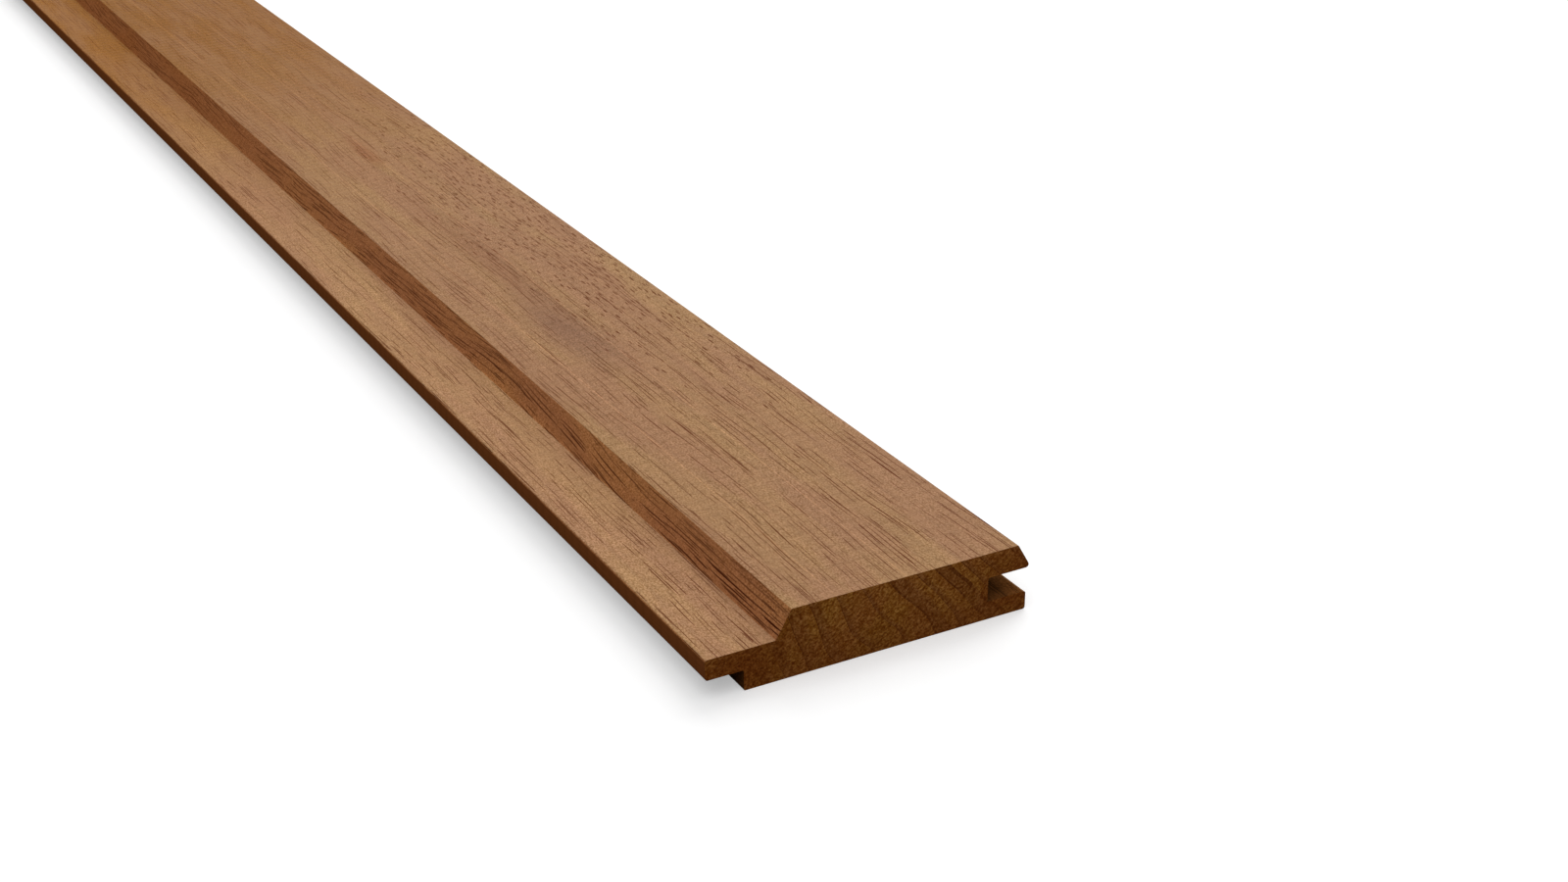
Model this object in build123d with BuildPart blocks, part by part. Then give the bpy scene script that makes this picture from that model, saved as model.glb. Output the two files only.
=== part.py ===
"""Heat-treated wood cladding board with a bevelled channel.

One length of hardwood, moulded on all four sides to a single section and cut
square at both ends. It lies on its back with the weather face up. A tongue
runs along one long edge at the foot of a bevelled channel, and a groove that
takes the next board's tongue runs along the other, under a bevelled lip.

Millimetres. X runs across the board from the tongue to the groove, Y along
its length and Z from the back to the weather face. The origin is on the back,
halfway along the length and halfway across the overall width.
"""

import os
from math import radians, tan

from build123d import *

# The planed blank
length = 1800.0
overall_width = 98.0  # from the tongue's tip to the nose of the bevelled lip
thickness = 20.0

# The tongue, whose top is also the floor of the channel
tongue_length = 11.0
tongue_thickness = 6.0
tongue_underside = 6.0  # height above the back
channel_floor_width = 20.2  # from the tongue's tip to the foot of the bevel

# Both bevels, on the channel and on the lip, lean at the same angle
bevel_angle = 60.0  # from the back

# The groove is the tongue's size and place plus what the fit needs
groove_clearance = 0.6  # above and below the tongue, each
groove_end_clearance = 1.4  # beyond the tongue's tip, for the wood to swell into
lip_setback = 0.6  # how far the lower lip stops short of the upper lip's nose

# Edges left by the moulder's cutters
arris_radius = 0.4  # edges of the weather face and of the back
root_radius = 0.5  # inner corners
tongue_radius = 0.7  # both edges of the tongue's tip
lip_radius = 0.7  # both edges of the lower lip
nose_radius = 1.0  # nose of the upper lip


def rounded_corner_x(extreme_x, radius, angle):
    """X of the sharp corner whose rounding reaches out to extreme_x.

    One side of the corner is level and the other leans at the angle.
    """
    return extreme_x + radius * (1 / tan(radians(angle / 2)) - 1)


# Places across the board
tip_x = -overall_width / 2
shoulder_x = tip_x + tongue_length
nose_x = overall_width / 2
lip_x = nose_x - lip_setback
groove_root_x = lip_x - tongue_length - groove_end_clearance
channel_foot_x = tip_x + channel_floor_width
nose_corner_x = rounded_corner_x(nose_x, nose_radius, bevel_angle)

# Heights above the back
channel_floor_z = tongue_underside + tongue_thickness
groove_floor_z = tongue_underside - groove_clearance
groove_roof_z = channel_floor_z + groove_clearance

# The weather face runs from the top of one bevel to the top of the other
lean = 1 / tan(radians(bevel_angle))  # sideways run of a bevel for each mm of height
face_start_x = channel_foot_x + (thickness - channel_floor_z) * lean
face_end_x = nose_corner_x - (thickness - groove_roof_z) * lean

# The section's corners as (x, z, radius), anticlockwise from the shoulder
section_corners = [
    (shoulder_x, 0, arris_radius),
    (lip_x, 0, lip_radius),
    (lip_x, groove_floor_z, lip_radius),
    (groove_root_x, groove_floor_z, root_radius),
    (groove_root_x, groove_roof_z, root_radius),
    (nose_corner_x, groove_roof_z, nose_radius),
    (face_end_x, thickness, arris_radius),
    (face_start_x, thickness, arris_radius),
    (channel_foot_x, channel_floor_z, root_radius),
    (tip_x, channel_floor_z, tongue_radius),
    (tip_x, tongue_underside, tongue_radius),
    (shoulder_x, tongue_underside, root_radius),
]

# The board: the moulded section, run the whole length
with BuildPart() as cladding_board:
    with BuildSketch(Plane.XZ) as section:
        with BuildLine() as outline:
            FilletPolyline(
                *[(x, z) for x, z, _ in section_corners],
                radius=[radius for _, _, radius in section_corners],
                close=True,
            )
        make_face()
    extrude(amount=length / 2, both=True)

cladding_board.part.label = "cladding_board"
os.makedirs("parts", exist_ok=True)
export_step(cladding_board.part, "parts/cladding_board.step")
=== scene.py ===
"""Looks of a heat-treated wood cladding board, lying face up on a pale studio floor."""

import math

import bmesh
import bpy
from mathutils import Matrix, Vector


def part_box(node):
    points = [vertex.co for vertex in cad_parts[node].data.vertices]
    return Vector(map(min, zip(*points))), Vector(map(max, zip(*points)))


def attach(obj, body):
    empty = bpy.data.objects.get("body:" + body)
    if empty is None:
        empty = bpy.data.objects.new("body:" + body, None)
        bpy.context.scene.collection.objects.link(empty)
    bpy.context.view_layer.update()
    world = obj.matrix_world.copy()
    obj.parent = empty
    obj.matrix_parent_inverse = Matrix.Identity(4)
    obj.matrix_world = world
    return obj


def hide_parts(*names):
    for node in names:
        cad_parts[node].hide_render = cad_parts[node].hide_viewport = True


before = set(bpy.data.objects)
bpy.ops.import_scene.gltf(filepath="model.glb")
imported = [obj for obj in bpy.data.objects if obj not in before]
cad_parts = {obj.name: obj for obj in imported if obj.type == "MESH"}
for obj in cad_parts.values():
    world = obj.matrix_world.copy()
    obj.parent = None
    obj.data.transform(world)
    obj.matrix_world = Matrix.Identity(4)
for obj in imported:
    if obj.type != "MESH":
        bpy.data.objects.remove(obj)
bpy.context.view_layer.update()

# The board is one length of heat-treated hardwood. Rotating cutters mould all four sides in one
# pass, which leaves its corners eased and its long faces faintly rippled, and a saw squares the
# ends. Nothing is fixed to it.
MM = 0.001
low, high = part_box("cladding_board")

tongue_length = 11.0 * MM
tongue_underside = 6.0 * MM
channel_floor_height = 12.0 * MM
channel_floor_width = 20.2 * MM
bevel_lean = 1 / math.tan(math.radians(60.0))
groove_clearance = 0.6 * MM
groove_depth = 12.4 * MM
lip_setback = 0.6 * MM
arris = 0.4 * MM
inner_corner = 0.5 * MM
worn_edge = 0.7 * MM
nose = 1.0 * MM
nose_cut_back = 0.665

shoulder_x = low.x + tongue_length
channel_foot_x = low.x + channel_floor_width
face_start_x = channel_foot_x + (high.z - channel_floor_height) * bevel_lean
lip_x = high.x - lip_setback
groove_root_x = lip_x - groove_depth
groove_floor_z = tongue_underside - groove_clearance
groove_roof_z = channel_floor_height + groove_clearance
nose_x = high.x + nose * nose_cut_back
face_end_x = nose_x - (high.z - groove_roof_z) * bevel_lean

# Each corner of the section with the radius of its rounding, from the shoulder round. The nose's
# rounding cuts its sharp corner back to the board's full width.
corners = [
    (shoulder_x, low.z, arris),
    (lip_x, low.z, worn_edge),
    (lip_x, groove_floor_z, worn_edge),
    (groove_root_x, groove_floor_z, inner_corner),
    (groove_root_x, groove_roof_z, inner_corner),
    (nose_x, groove_roof_z, nose),
    (face_end_x, high.z, arris),
    (face_start_x, high.z, arris),
    (channel_foot_x, channel_floor_height, inner_corner),
    (low.x, channel_floor_height, worn_edge),
    (low.x, tongue_underside, worn_edge),
    (shoulder_x, tongue_underside, inner_corner),
]

# The section is run out to the board's length, then each long corner is rounded
slack = 0.01 * MM
rounding_steps = 6
shape = bmesh.new()
outline = [shape.verts.new((x, low.y, z)) for x, z, _ in corners]
section = shape.faces.new(outline)
run = bmesh.ops.extrude_face_region(shape, geom=[section])["geom"]
far_corners = [part for part in run if isinstance(part, bmesh.types.BMVert)]
bmesh.ops.translate(shape, verts=far_corners, vec=(0, high.y - low.y, 0))
bmesh.ops.recalc_face_normals(shape, faces=shape.faces)
for x, z, radius in corners:
    corner = Vector((x, 0, z))
    sharp = [
        edge
        for edge in shape.edges
        if all((Vector((v.co.x, 0, v.co.z)) - corner).length < slack for v in edge.verts)
    ]
    bmesh.ops.bevel(
        shape,
        geom=sharp,
        offset=radius * math.tan(sharp[0].calc_face_angle() / 2),
        offset_type="OFFSET",
        segments=rounding_steps,
        profile=0.5,
        affect="EDGES",
        material=-1,
    )

# How each face was cut: the weather side and the back by flat planing knives, the flanks and the
# recesses by shaped cutters, and the ends by the saw. A face belongs to a side where its normal
# points squarely enough that way.
PLANED, FLANK, BACK, RECESS, SAWN = range(5)
squarely = 0.75
crease = math.radians(20)
for face in shape.faces:
    middle = face.calc_center_median()
    under_tongue = middle.x < shoulder_x + arris and middle.z < tongue_underside + slack
    in_groove = (
        groove_root_x - slack < middle.x < lip_x - slack
        and groove_floor_z - slack < middle.z < groove_roof_z + slack
    )
    if abs(face.normal.y) > squarely:
        face.material_index = SAWN
    # The groove and the rebate under the tongue take the wood darkened by painted shade
    elif under_tongue or in_groove:
        face.material_index = RECESS
    elif face.normal.z > squarely:
        face.material_index = PLANED
    elif face.normal.z < -squarely:
        face.material_index = BACK
    else:
        face.material_index = FLANK
    face.smooth = face.material_index != SAWN
for edge in shape.edges:
    edge.smooth = edge.calc_face_angle() < crease

# The board's skin unrolled for the bake: its length along U, the way round its section up V,
# and the two sawn ends side by side above that
skin = shape.loops.layers.uv.new("OFBake")
skin_share = 0.86
end_width, end_height, end_margin = 0.49, 0.125, 0.01
near_end_left, far_end_left = 0.005, 0.505
same_corner = 0.001 * MM
near_end = min(shape.faces, key=lambda face: face.calc_center_median().y)
far_end = max(shape.faces, key=lambda face: face.calc_center_median().y)
girth = sum(loop.edge.calc_length() for loop in near_end.loops)
way_round = 0.0
for loop in near_end.loops:
    start = loop.vert.co
    step = loop.edge.calc_length()
    side = next(face for face in loop.edge.link_faces if face is not near_end)
    for point in side.loops:
        place = point.vert.co
        at_start = math.hypot(place.x - start.x, place.z - start.z) < same_corner
        reached = way_round if at_start else way_round + step
        way_along = (place.y - low.y) / (high.y - low.y)
        point[skin].uv = (way_along, skin_share * reached / girth)
    way_round += step
for end, left in ((near_end, near_end_left), (far_end, far_end_left)):
    for point in end.loops:
        over = (point.vert.co.x - low.x) / (high.x - low.x)
        up = (point.vert.co.z - low.z) / (high.z - low.z)
        point[skin].uv = (left + end_width * over, skin_share + end_margin + end_height * up)

board_mesh = bpy.data.meshes.new("cladding_board_wood")
shape.to_mesh(board_mesh)
shape.free()
board = bpy.data.objects.new("cladding_board_wood", board_mesh)
bpy.context.scene.collection.objects.link(board)


def srgb(text):
    """The linear colour of an sRGB hex value."""
    values = [int(text[i : i + 2], 16) / 255 for i in (1, 3, 5)]
    return tuple(v / 12.92 if v <= 0.04045 else ((v + 0.055) / 1.055) ** 2.4 for v in values) + (1,)


def add(tree, kind, inputs, **settings):
    """Adds a node with its settings and links. An input is a value, or a node or output to link."""
    made = tree.nodes.new("ShaderNode" + kind)
    for name, value in settings.items():
        setattr(made, name, value)
    for name, value in inputs.items():
        if isinstance(value, bpy.types.Node):
            value = next(output for output in value.outputs if output.enabled)
        if isinstance(value, bpy.types.NodeSocket):
            tree.links.new(value, made.inputs[name])
        else:
            made.inputs[name].default_value = value
    return made


BLENDED = {"data_type": "RGBA", "blend_type": "MIX"}
TINTED = {"data_type": "RGBA", "blend_type": "MULTIPLY"}

# How the grain wanders, slowest first: each wave's length, its width and its reach, in mm
GRAIN_WAVES = ((300, 60, 16.0), (75, 22, 4.4), (14, 5, 0.3))


def trunk_place(tree):
    """Places in the trunk in millimetres: as they are, and swayed as the grain wanders."""
    place = add(tree, "TexCoord", {}).outputs["Object"]
    straight = add(tree, "VectorMath", {0: place, 1: (1 / MM,) * 3}, operation="MULTIPLY")
    swayed = straight
    for length, width, reach in GRAIN_WAVES:
        cells = (1 / width, 1 / length, 1 / width)
        slow = add(tree, "VectorMath", {0: straight, 1: cells}, operation="MULTIPLY")
        drift = add(tree, "TexNoise", {"Vector": slow, "Scale": 1, "Detail": 1}).outputs["Color"]
        evened = add(tree, "VectorMath", {0: drift, 1: (0.5, 0.5, 0.5)}, operation="SUBTRACT")
        push = add(tree, "VectorMath", {0: evened, 1: (reach, 0, reach)}, operation="MULTIPLY")
        swayed = add(tree, "VectorMath", {0: swayed, 1: push}, operation="ADD")
    return straight, swayed


# Patterns are turned by these angles, so that their cells don't line up across the board
ASKEW = (0.4, 0.7, 0.5)
DASH_TURN = 0.45


def mottle(tree, place, size, detail, least, most):
    """Soft patches of a size in mm: 0 to 1 as the noise goes from its least level to its most."""
    cells = add(tree, "VectorMath", {0: place, 1: size}, operation="DIVIDE")
    turning = {"Vector": cells, "Rotation": ASKEW}
    turned = add(tree, "VectorRotate", turning, rotation_type="EULER_XYZ")
    noise = add(tree, "TexNoise", {"Vector": turned, "Scale": 1, "Detail": detail})
    levels = {"Value": noise, "From Min": least, "From Max": most}
    return add(tree, "MapRange", levels, interpolation_type="SMOOTHSTEP")


def spot(tree, place, middle, reach):
    """A soft-edged oval mark: 1 in its middle and 0 outside its reach, in mm."""
    away = add(tree, "VectorMath", {0: place, 1: middle}, operation="SUBTRACT")
    part = add(tree, "VectorMath", {0: away, 1: reach}, operation="DIVIDE")
    far = add(tree, "VectorMath", {0: part}, operation="LENGTH")
    levels = {"Value": far, "From Min": 1.0, "From Max": 0.0}
    return add(tree, "MapRange", levels, interpolation_type="SMOOTHSTEP")


def pore_dashes(tree, place, width, length, share, shift):
    """Vessels cut open lengthways: 1 in the middle of a dash and 0 between them.

    The width and length are those of the largest dash in mm, and the share is that of the cells
    with one in. The shift sets one layer of dashes off from the next.
    """
    # The reach of the largest dash in cells, small enough to stay inside its own, then shares: the
    # smallest dash of that, each dash's flat middle, and the faintest dash of the darkest
    reach = 0.3
    smallest, flat_part, faintest = 0.55, 0.6, 0.65
    moved = add(tree, "VectorMath", {0: place, 1: (shift, shift, 0)}, operation="ADD")
    cells = (2 * reach / width, 2 * reach / length, 1)
    scaled = add(tree, "VectorMath", {0: moved, 1: cells}, operation="MULTIPLY")
    turning = {"Vector": scaled, "Angle": DASH_TURN}
    turned = add(tree, "VectorRotate", turning, rotation_type="Z_AXIS")
    vessel = add(tree, "TexVoronoi", {"Vector": turned, "Scale": 1}, voronoi_dimensions="2D")
    chance = add(tree, "SeparateColor", {"Color": vessel.outputs["Color"]})
    there = add(tree, "Math", {0: chance.outputs[1], 1: share}, operation="LESS_THAN")
    sizes = {"Value": chance.outputs[0], "To Min": reach * smallest, "To Max": reach}
    size = add(tree, "MapRange", sizes)
    core = add(tree, "Math", {0: size, 1: flat_part}, operation="MULTIPLY")
    levels = {"Value": vessel.outputs["Distance"], "From Min": size, "From Max": core}
    dash = add(tree, "MapRange", levels, interpolation_type="SMOOTHSTEP")
    depths = {"Value": chance.outputs[2], "To Min": faintest, "To Max": 1.0}
    depth = add(tree, "MapRange", depths)
    deep = add(tree, "Math", {0: dash, 1: depth}, operation="MULTIPLY")
    return add(tree, "Math", {0: deep, 1: there}, operation="MULTIPLY")


# The trunk's pith, up and to the groove side of the board, and the width of a usual year's ring,
# in mm. No two years are alike: how many changes there are for each mm, and how far they reach.
# Late wood begins at this share of a ring.
PITH = (118, 0, 72)
YEAR = 7.5
YEAR_CHANGES, YEAR_REACH = 0.13, 9.0
LATE_WOOD = 0.45


def growth_rings(tree, place):
    """Places measured from the pith, how far each is from it, and 0 to 1 across a year's ring."""
    away = add(tree, "VectorMath", {0: place, 1: PITH}, operation="SUBTRACT")
    flat = add(tree, "VectorMath", {0: away, 1: (1, 0, 1)}, operation="MULTIPLY")
    radius = add(tree, "VectorMath", {0: flat}, operation="LENGTH")
    spread = {"W": radius, "Scale": YEAR_CHANGES, "Detail": 1}
    years = add(tree, "TexNoise", spread, noise_dimensions="1D")
    uneven = add(tree, "Math", {0: years, 1: YEAR_REACH, 2: radius}, operation="MULTIPLY_ADD")
    turns = add(tree, "Math", {0: uneven, 1: YEAR}, operation="DIVIDE")
    return flat, radius, add(tree, "Math", {0: turns}, operation="FRACT")


# The marks of this board's long faces, in mm from the middle of its back. Blotches: the middle,
# the reach and the colour of a pale haze, a smoky patch and a small warm one.
BLOTCHES = (
    ((6, -630, 20), (11, 120, 14), "#946A4C"),
    ((4, -703, 20), (15, 62, 14), "#88634C"),
    ((11, -485, 20), (6, 34, 10), "#96613B"),
)
# Deeper golden brown sets in along the board from the first of these places to the second: painted
# shade, where the sheen on the near part fades out. From a third place to a fourth it begins to
# give way in patches, by this share at most.
SHEEN_FALLOFF_FROM, SHEEN_FALLOFF_TO = -600, -230
WANDER_FROM, WANDER_TO, WANDER_SHARE = 0, 250, 0.8
# Pores in three lengths: the largest dash's width and length, the share of the cells with one in
# where they are sparse and where they crowd, and a shift. Real vessels are 0.2 to 0.3 mm wide,
# and these are drawn as coarse as they need to be to show.
PORES = ((0.43, 40, 0.14, 0.4, 0), (0.41, 24, 0.1, 0.36, 31), (0.39, 12, 0.04, 0.2, 57))
# They crowd along the bevel's foot and are fainter on its upper half
CROWDED = ((-28, -880, 13), (5, 140, 5))
CLEAR = ((-25, -880, 18), (2, 420, 20))
CLEAR_SHARE = 0.6
# Where the grain runs out of the face they are short and wide: the largest one's width and length,
# the share of the cells with one in, a shift, and how dark they are
RUN_OUT = ((34, -590, 20), (42, 250, 3))
SHORT_WIDTH, SHORT_LENGTH, SHORT_SHARE, SHORT_SHIFT, SHORT_DARK = 0.85, 5.5, 0.9, 83, 0.95
# They get fainter from the first of these places on, down to this share at the second
FAINTER_FROM, FAINTER_TO, FAINTER_SHARE = -780, -430, 0.62
# The tongue's tip, whose outer side is painted darker as the shade that falls on it, and the soft
# line where that painted shade begins
TIP_X, TONGUE_SHADE_FROM, TONGUE_SHADE_TO = -48.0, 11.75, 11.2
TONGUE_SIDE_SHADE = "#91542B"
# The feed of the board for each cut of a knife. Two nicks in the knives leave a ridge each: their
# places, and how far a ridge's foot and its flat top reach from its middle.
FEED = 5.03
NICKS = (-10.9, 10.3)
RIDGE_FOOT, RIDGE_TOP = 0.25, 0.05


def long_grain(name, golden, rosy, deep, pore_colour, across, density, sheen):
    """Heat-treated hardwood cut along the grain.

    Golden is the ground, rosy the colour of its patches and deep its tone away from the near end,
    painted darker there as shade where the sheen fades.
    Across is the axis that crosses the grain on these faces, and the density is the pores' own.
    """
    material = bpy.data.materials.new(name)
    material.use_nodes = True
    tree = material.node_tree
    shader = tree.nodes["Principled BSDF"]
    straight, swayed = trunk_place(tree)
    here = add(tree, "SeparateXYZ", {0: straight})
    axes = add(tree, "SeparateXYZ", {0: swayed})
    surface = add(tree, "CombineXYZ", {"X": axes.outputs[across], "Y": axes.outputs["Y"]})

    # Golden wood with rosy patches and blotches. Away from the near end it is painted deeper, as
    # shade where the sheen fades, and further on it wanders between the two in patches
    patch = mottle(tree, swayed, size=(14, 85, 14), detail=2, least=0.38, most=0.62)
    base = add(tree, "Mix", {0: patch, 6: srgb(golden), 7: srgb(rosy)}, **BLENDED)
    levels = {"Value": here.outputs["Y"], "From Min": SHEEN_FALLOFF_FROM, "From Max": SHEEN_FALLOFF_TO}
    sheen_falloff = add(tree, "MapRange", levels, interpolation_type="SMOOTHSTEP")
    levels = {"Value": here.outputs["Y"], "From Min": WANDER_FROM, "From Max": WANDER_TO}
    beyond = add(tree, "MapRange", {**levels, "To Max": WANDER_SHARE})
    wander = mottle(tree, swayed, size=(34, 230, 34), detail=2, least=0.36, most=0.64)
    spared = add(tree, "Math", {0: beyond, 1: wander}, operation="MULTIPLY")
    sheen_falloff = add(tree, "Math", {0: sheen_falloff, 1: spared}, operation="SUBTRACT", use_clamp=True)
    base = add(tree, "Mix", {0: sheen_falloff, 6: base, 7: srgb(deep)}, **BLENDED)
    for middle, reach, colour in BLOTCHES:
        blotch = spot(tree, swayed, middle, reach)
        base = add(tree, "Mix", {0: blotch, 6: base, 7: srgb(colour)}, **BLENDED)

    # Fibres run along the grain, and short flecks of them catch the light, the pale ones greyer.
    # Real flecks are finer, and these are as coarse as they need to be to show.
    fibre = mottle(tree, swayed, size=(0.6, 14, 0.6), detail=3, least=0.25, most=0.75)
    tone = add(tree, "MapRange", {"Value": fibre, "To Min": 0.92, "To Max": 1.08})
    base = add(tree, "Mix", {0: 1.0, 6: base, 7: tone}, **TINTED)
    dark_fleck, pale_fleck = (0.69, 0.643, 0.535, 1), (1.31, 1.357, 1.465, 1)
    fleck = mottle(tree, straight, size=(0.42, 0.7, 0.42), detail=1, least=0.25, most=0.75)
    tone = add(tree, "Mix", {0: fleck, 6: dark_fleck, 7: pale_fleck}, **BLENDED)
    base = add(tree, "Mix", {0: 1.0, 6: base, 7: tone}, **TINTED)

    # Late wood in each year's ring is a little darker
    _, _, ring = growth_rings(tree, swayed)
    levels = {"Value": ring, "From Min": LATE_WOOD, "To Min": 1.0, "To Max": 0.92}
    late = add(tree, "MapRange", levels)
    base = add(tree, "Mix", {0: 1.0, 6: base, 7: late}, **TINTED)

    # The channel's floor is a little lighter than the face
    channel_z, fading = channel_floor_height / MM, 0.5
    levels = {"Value": here.outputs["Z"], "From Min": channel_z, "From Max": channel_z + fading}
    tone = add(tree, "MapRange", {**levels, "To Min": 1.12, "To Max": 1.0})
    base = add(tree, "Mix", {0: 1.0, 6: base, 7: tone}, **TINTED)

    # Pores, with rosier wood where they crowd
    crowd = mottle(tree, swayed, size=(9, 55, 9), detail=1, least=0.3, most=0.7)
    foot = spot(tree, straight, *CROWDED)
    crowd = add(tree, "Math", {0: crowd, 1: foot}, operation="MAXIMUM")
    rosier = 0.35
    tint = add(tree, "Math", {0: crowd, 1: rosier}, operation="MULTIPLY")
    base = add(tree, "Mix", {0: tint, 6: base, 7: srgb(rosy)}, **BLENDED)
    pores = 0.0
    for width, length, sparse, crowded, shift in PORES:
        levels = {"Value": crowd, "To Min": sparse * density, "To Max": crowded * density}
        share = add(tree, "MapRange", levels)
        more = pore_dashes(tree, surface, width, length, share, shift)
        pores = add(tree, "Math", {0: pores, 1: more}, operation="MAXIMUM")
    run_out = spot(tree, straight, *RUN_OUT)
    share = add(tree, "Math", {0: run_out, 1: SHORT_SHARE}, operation="MULTIPLY")
    short = pore_dashes(tree, surface, SHORT_WIDTH, SHORT_LENGTH, share, SHORT_SHIFT)
    shallow = add(tree, "Math", {0: short, 1: SHORT_DARK}, operation="MULTIPLY")
    pores = add(tree, "Math", {0: pores, 1: shallow}, operation="MAXIMUM")
    levels = {"Value": here.outputs["Y"], "From Min": FAINTER_FROM, "From Max": FAINTER_TO}
    fainter = add(tree, "MapRange", {**levels, "To Min": 1.0, "To Max": FAINTER_SHARE})
    clear = spot(tree, straight, *CLEAR)
    kept = add(tree, "MapRange", {"Value": clear, "To Min": 1.0, "To Max": CLEAR_SHARE})
    for keep in (fainter, kept):
        pores = add(tree, "Math", {0: pores, 1: keep}, operation="MULTIPLY")
    base = add(tree, "Mix", {0: pores, 6: base, 7: srgb(pore_colour)}, **BLENDED)

    # Painted shade on the outer side of the tongue's tip
    at_tip = add(tree, "Math", {0: here.outputs["X"], 1: TIP_X}, operation="LESS_THAN")
    levels = {"Value": here.outputs["Z"], "From Min": TONGUE_SHADE_FROM, "From Max": TONGUE_SHADE_TO}
    lower = add(tree, "MapRange", levels)
    tongue_side_shade = add(tree, "Math", {0: at_tip, 1: lower}, operation="MULTIPLY")
    base = add(tree, "Mix", {0: tongue_side_shade, 6: base, 7: srgb(TONGUE_SIDE_SHADE)}, **BLENDED)

    # Each knife leaves a scallop, its crests painted darker as shade on the ripple
    feed = add(tree, "Math", {0: here.outputs["Y"], 1: FEED}, operation="DIVIDE")
    part = add(tree, "Math", {0: feed}, operation="FRACT")
    off_middle = add(tree, "Math", {0: part, 1: 2.0, 2: -1.0}, operation="MULTIPLY_ADD")
    scallop = add(tree, "Math", {0: off_middle, 1: off_middle}, operation="MULTIPLY")
    tone = add(tree, "MapRange", {"Value": scallop, "To Min": 1.03, "To Max": 0.955})
    base = add(tree, "Mix", {0: 1.0, 6: base, 7: tone}, **TINTED)

    # Nicks in the knives leave straight pale ridges
    ridges = 0.0
    for nick in NICKS:
        off = add(tree, "Math", {0: here.outputs["X"], 1: nick}, operation="SUBTRACT")
        gap = add(tree, "Math", {0: off}, operation="ABSOLUTE")
        levels = {"Value": gap, "From Min": RIDGE_FOOT, "From Max": RIDGE_TOP}
        ridge = add(tree, "MapRange", levels)
        ridges = add(tree, "Math", {0: ridges, 1: ridge}, operation="MAXIMUM")
    tone = add(tree, "MapRange", {"Value": ridges, "To Min": 1.0, "To Max": 1.35})
    colour = add(tree, "Mix", {0: 1.0, 6: base, 7: tone}, **TINTED)
    tree.links.new(colour.outputs[2], shader.inputs["Base Color"])

    # Dry and matt, most of all in the pores
    wood_rough, pore_rough = 0.6, 0.85
    levels = {"Value": pores, "To Min": wood_rough, "To Max": pore_rough}
    rough = add(tree, "MapRange", levels)
    tree.links.new(rough.outputs[0], shader.inputs["Roughness"])
    shader.inputs["Specular IOR Level"].default_value = sheen

    # Relief: the scallops, then fibres and pores on them
    scallop_depth, fibre_depth = 0.12 * MM, 0.1 * MM
    ripple = add(tree, "Bump", {"Strength": 1.0, "Distance": scallop_depth, "Height": scallop})
    raised = add(tree, "Math", {0: pores, 1: -1.0, 2: fibre}, operation="MULTIPLY_ADD")
    texture = {"Strength": 0.3, "Distance": fibre_depth, "Height": raised, "Normal": ripple}
    bump = add(tree, "Bump", texture)
    tree.links.new(bump.outputs[0], shader.inputs["Normal"])
    return material


# Unfinished heat-treated hardwood, planed: dry golden brown with rosy patches, rows of dark pores
# and a faint ripple, and only a trace of sheen
planed = long_grain(
    "planed thermo wood",
    golden="#A9825A",
    rosy="#A47A59",
    deep="#8F5F2B",
    pore_colour="#5C2613",
    across="X",
    density=1.25,
    sheen=0.025,
)
# The same wood cut at a slant by shaped cutters: redder and darker, and streaked, because the cut
# lays open more pores
moulded = long_grain(
    "moulded thermo wood",
    golden="#B27849",
    rosy="#A86E46",
    deep="#9D6136",
    pore_colour="#421505",
    across="Z",
    density=2.6,
    sheen=0.0,
)
# The back, planed coarsely: browner and duller than the weather side
dull_planed = long_grain(
    "dull planed thermo wood",
    golden="#996A38",
    rosy="#8F5C34",
    deep="#84542B",
    pore_colour="#4A2C18",
    across="X",
    density=1.0,
    sheen=0.0,
)
# The groove and the rebate under the tongue: dark with painted shade, since these recesses lie in
# shadow, and dull
recess_shade_wood = long_grain(
    "thermo wood darkened by painted shade",
    golden="#6C421F",
    rosy="#643C1C",
    deep="#5E3817",
    pore_colour="#331B0D",
    across="X",
    density=1.0,
    sheen=0.0,
)

# The marks of the sawn ends, in mm. Stains from the heat at the near end's tongue and lips, each
# with its middle and reach, and a darker foot, half as strong, that fades between two heights.
END_STAINS = (((-38, -900, 6), (26, 60, 20)), ((47, -900, 8), (24, 60, 20)))
FOOT_FROM, FOOT_TO, FOOT_STRENGTH = 1.0, 13, 0.5
# Tints of the pits and of the loose pale fibres that the saw leaves, which are greyer
PITS = (0.68, 0.52, 0.15, 1)
LOOSE_FIBRES = (1.32, 1.48, 1.85, 1)


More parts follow.
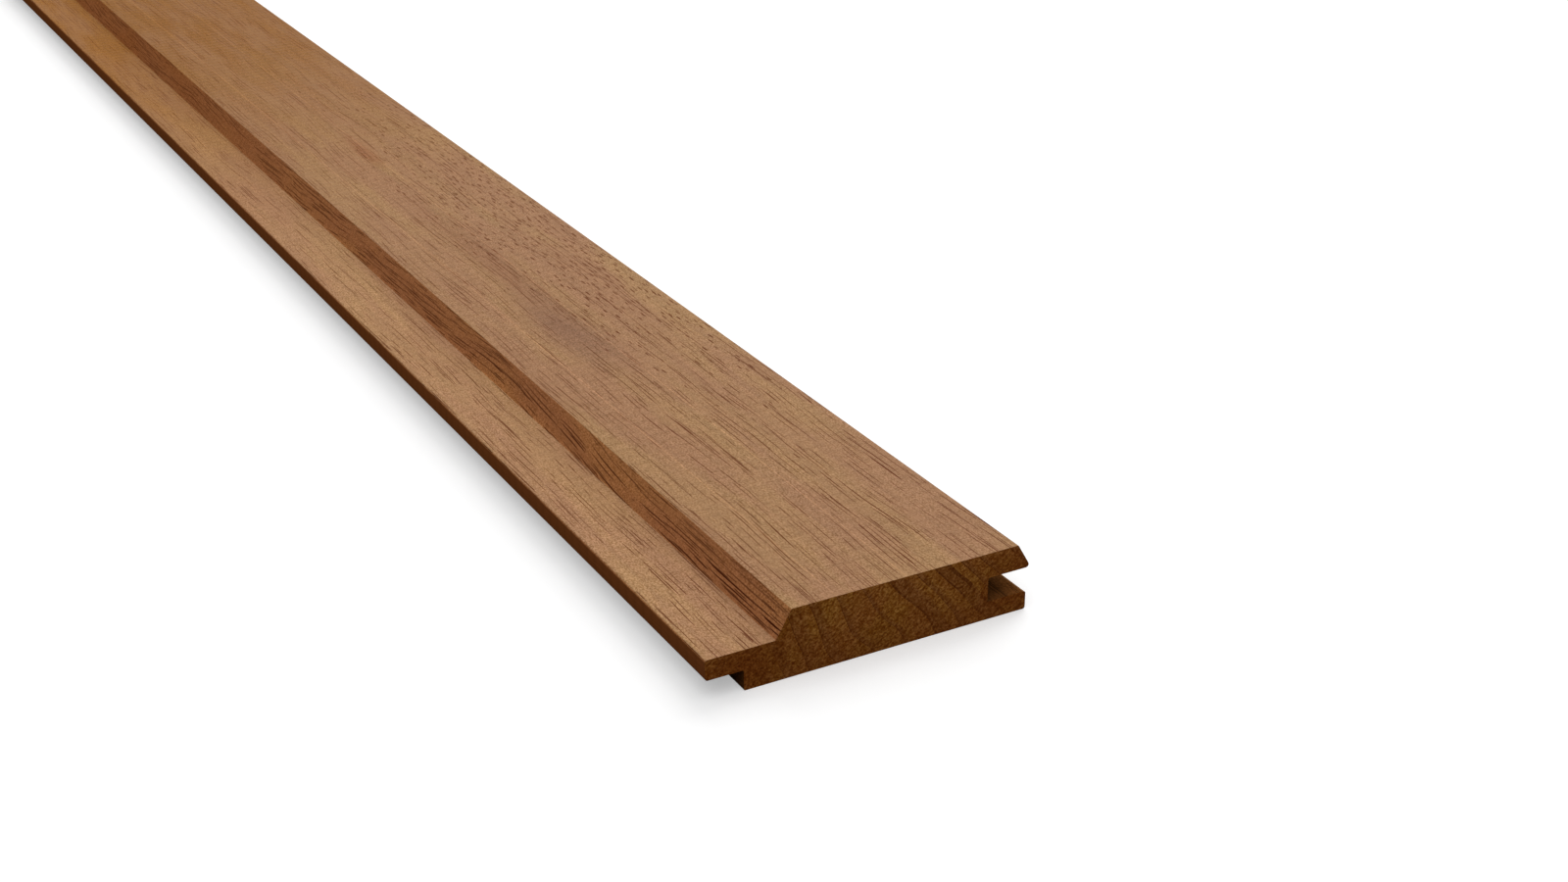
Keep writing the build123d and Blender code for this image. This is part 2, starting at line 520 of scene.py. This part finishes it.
def sawn_end(name):
    """Sawn end grain: rings, with rays out from the pith."""
    material = bpy.data.materials.new(name)
    material.use_nodes = True
    tree = material.node_tree
    shader = tree.nodes["Principled BSDF"]
    straight, swayed = trunk_place(tree)
    here = add(tree, "SeparateXYZ", {0: straight})
    flat, radius, ring = growth_rings(tree, swayed)
    patch = mottle(tree, swayed, size=(9, 40, 9), detail=2, least=0.35, most=0.65)
    base = add(tree, "Mix", {0: patch, 6: srgb("#B2742D"), 7: srgb("#AC6A2D")}, **BLENDED)

    # Late wood darkens each ring, which ends in a thin line, in places faint
    levels = {"Value": ring, "From Min": LATE_WOOD, "From Max": 0.9, "To Max": 0.55}
    late = add(tree, "MapRange", levels, interpolation_type="SMOOTHSTEP")
    base = add(tree, "Mix", {0: late, 6: base, 7: srgb("#8C5329")}, **BLENDED)
    line_from = 0.95
    edge = add(tree, "Math", {0: ring, 1: line_from}, operation="GREATER_THAN")
    faint = mottle(tree, swayed, size=(5, 1, 5), detail=1, least=0.25, most=0.55)
    line = add(tree, "Math", {0: edge, 1: faint}, operation="MULTIPLY")
    untinted, line_tint = (1, 1, 1, 1), (0.58, 0.46, 0.3, 1)
    tone = add(tree, "Mix", {0: line, 6: untinted, 7: line_tint}, **BLENDED)
    base = add(tree, "Mix", {0: 1.0, 6: base, 7: tone}, **TINTED)

    # Darker and redder along the underside and at both edges
    levels = {"Value": here.outputs["Z"], "From Min": FOOT_TO, "From Max": FOOT_FROM}
    darkening = add(tree, "MapRange", {**levels, "To Max": FOOT_STRENGTH})
    for middle, reach in END_STAINS:
        mark = spot(tree, straight, middle, reach)
        darkening = add(tree, "Math", {0: darkening, 1: mark}, operation="MAXIMUM")
    base = add(tree, "Mix", {0: darkening, 6: base, 7: srgb("#8C4B16")}, **BLENDED)

    # Rays run out from the pith, and the saw leaves the cut fibres rough. Both are finer in real
    # wood, and are as coarse here as they need to be to show. The rays have their width where the
    # board is nearest to the pith, this far from it, and widen further out.
    nearest = 85.0
    sides = add(tree, "SeparateXYZ", {0: flat})
    turn = add(tree, "Math", {0: sides.outputs["Z"], 1: sides.outputs["X"]}, operation="ARCTAN2")
    swing = add(tree, "Math", {0: turn, 1: nearest}, operation="MULTIPLY")
    polar = add(tree, "CombineXYZ", {"X": radius, "Y": swing})
    ray = mottle(tree, polar, size=(1.5, 0.45, 1), detail=2, least=0.25, most=0.75)
    torn = mottle(tree, straight, size=(0.55,) * 3, detail=2, least=0.3, most=0.7)
    for pattern in (ray, torn):
        tone = add(tree, "Mix", {0: pattern, 6: PITS, 7: LOOSE_FIBRES}, **BLENDED)
        base = add(tree, "Mix", {0: 1.0, 6: base, 7: tone}, **TINTED)
    tree.links.new(base.outputs[2], shader.inputs["Base Color"])
    tear_depth = 0.1 * MM
    bump = add(tree, "Bump", {"Strength": 0.5, "Distance": tear_depth, "Height": torn})
    tree.links.new(bump.outputs[0], shader.inputs["Normal"])
    shader.inputs["Roughness"].default_value = 0.9
    shader.inputs["Specular IOR Level"].default_value = 0.1
    return material


# Saw-cut end grain drinks in the light: dark brown and rough, with thin ring lines
sawn = sawn_end("sawn thermo wood")

for cut in (planed, moulded, dull_planed, recess_shade_wood, sawn):
    board.data.materials.append(cut)
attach(board, "root")
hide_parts("cladding_board")

# The studio's floor is a wide sheet of white paper that the board lies on. It shows as pure white,
# with the board's shadow, but throws only a little warm light back up.
floor_half = 6.0
floor_gap = 0.05 * MM
floor_shape = bmesh.new()
bmesh.ops.create_grid(floor_shape, x_segments=1, y_segments=1, size=floor_half)
bmesh.ops.translate(floor_shape, verts=floor_shape.verts, vec=(0, 0, low.z - floor_gap))
floor_mesh = bpy.data.meshes.new("studio_floor")
floor_shape.to_mesh(floor_mesh)
floor_shape.free()
floor = bpy.data.objects.new("studio_floor", floor_mesh)
bpy.context.scene.collection.objects.link(floor)


def in_view(tree):
    """1 on rays from the camera, also those that gloss and glass send on, and 0 on all others."""
    sight = add(tree, "LightPath", {})
    seen = sight.outputs["Is Camera Ray"]
    for way in ("Is Glossy Ray", "Is Transmission Ray"):
        seen = add(tree, "Math", {0: seen, 1: sight.outputs[way]}, operation="MAXIMUM")
    return seen


shown_colour, shown_glow = (0.72, 0.72, 0.72, 1), 0.41
bounced_colour = (0.12, 0.10, 0.08, 1)
paper = bpy.data.materials.new("white paper sweep")
paper.use_nodes = True
tree = paper.node_tree
tree.nodes.remove(tree.nodes["Principled BSDF"])
shown = add(tree, "BsdfDiffuse", {"Color": shown_colour})
glow = add(tree, "Emission", {"Color": (1, 1, 1, 1), "Strength": shown_glow})
bright = add(tree, "AddShader", {0: shown, 1: glow})
dim = add(tree, "BsdfDiffuse", {"Color": bounced_colour})
sheet = add(tree, "MixShader", {0: in_view(tree), 1: dim, 2: bright})
tree.links.new(sheet.outputs[0], tree.nodes["Material Output"].inputs["Surface"])
floor.data.materials.append(paper)

# Two large softboxes light it, one low beyond the far right corner and one high over the near
# left. Azimuth is where a lamp stands in degrees: 0 is beyond the far end, 90 on the groove side.
# Its width is the angle that it fills in the sky.
for name, azimuth, elevation, width, strength in (
    ("far_softbox", 43, 40, 50, 1.62),
    ("overhead_softbox", 225, 73, 80, 1.85),
):
    light = bpy.data.lights.new(name, "SUN")
    light.angle = math.radians(width)
    light.energy = strength
    lamp = bpy.data.objects.new(name, light)
    turn, rise = math.radians(azimuth), math.radians(elevation)
    level = math.cos(rise)
    stand = Vector((math.sin(turn) * level, math.cos(turn) * level, math.sin(rise)))
    lamp.rotation_euler = stand.to_track_quat("Z", "Y").to_euler()
    bpy.context.scene.collection.objects.link(lamp)

# The room is white to the eye and nearly dark to the board
room_light = 0.03
world = bpy.data.worlds.new("studio")
world.use_nodes = True
tree = world.node_tree
background = tree.nodes["Background"]
brightness = add(tree, "MapRange", {"Value": in_view(tree), "To Min": room_light, "To Max": 1.0})
tree.links.new(brightness.outputs[0], background.inputs["Strength"])
background.inputs["Color"].default_value = (1, 1, 1, 1)
bpy.context.scene.world = world

# The camera stands at the near left with a 50 mm lens, looking down along the board. Its place is
# in metres, and it is turned to the right and tipped down by these degrees.
camera_place = (-0.26026, -1.31723, 0.29281)
turned_right, tipped_down = 29.273, 25.238
camera_data = bpy.data.cameras.new("camera")
camera_data.lens = 50.0
camera_data.sensor_width = 36.0
camera = bpy.data.objects.new("camera", camera_data)
camera.location = camera_place
camera.rotation_euler = (math.radians(90 - tipped_down), 0, math.radians(-turned_right))
bpy.context.scene.collection.objects.link(camera)
bpy.context.scene.camera = camera
bpy.context.scene.view_settings.view_transform = "Standard"
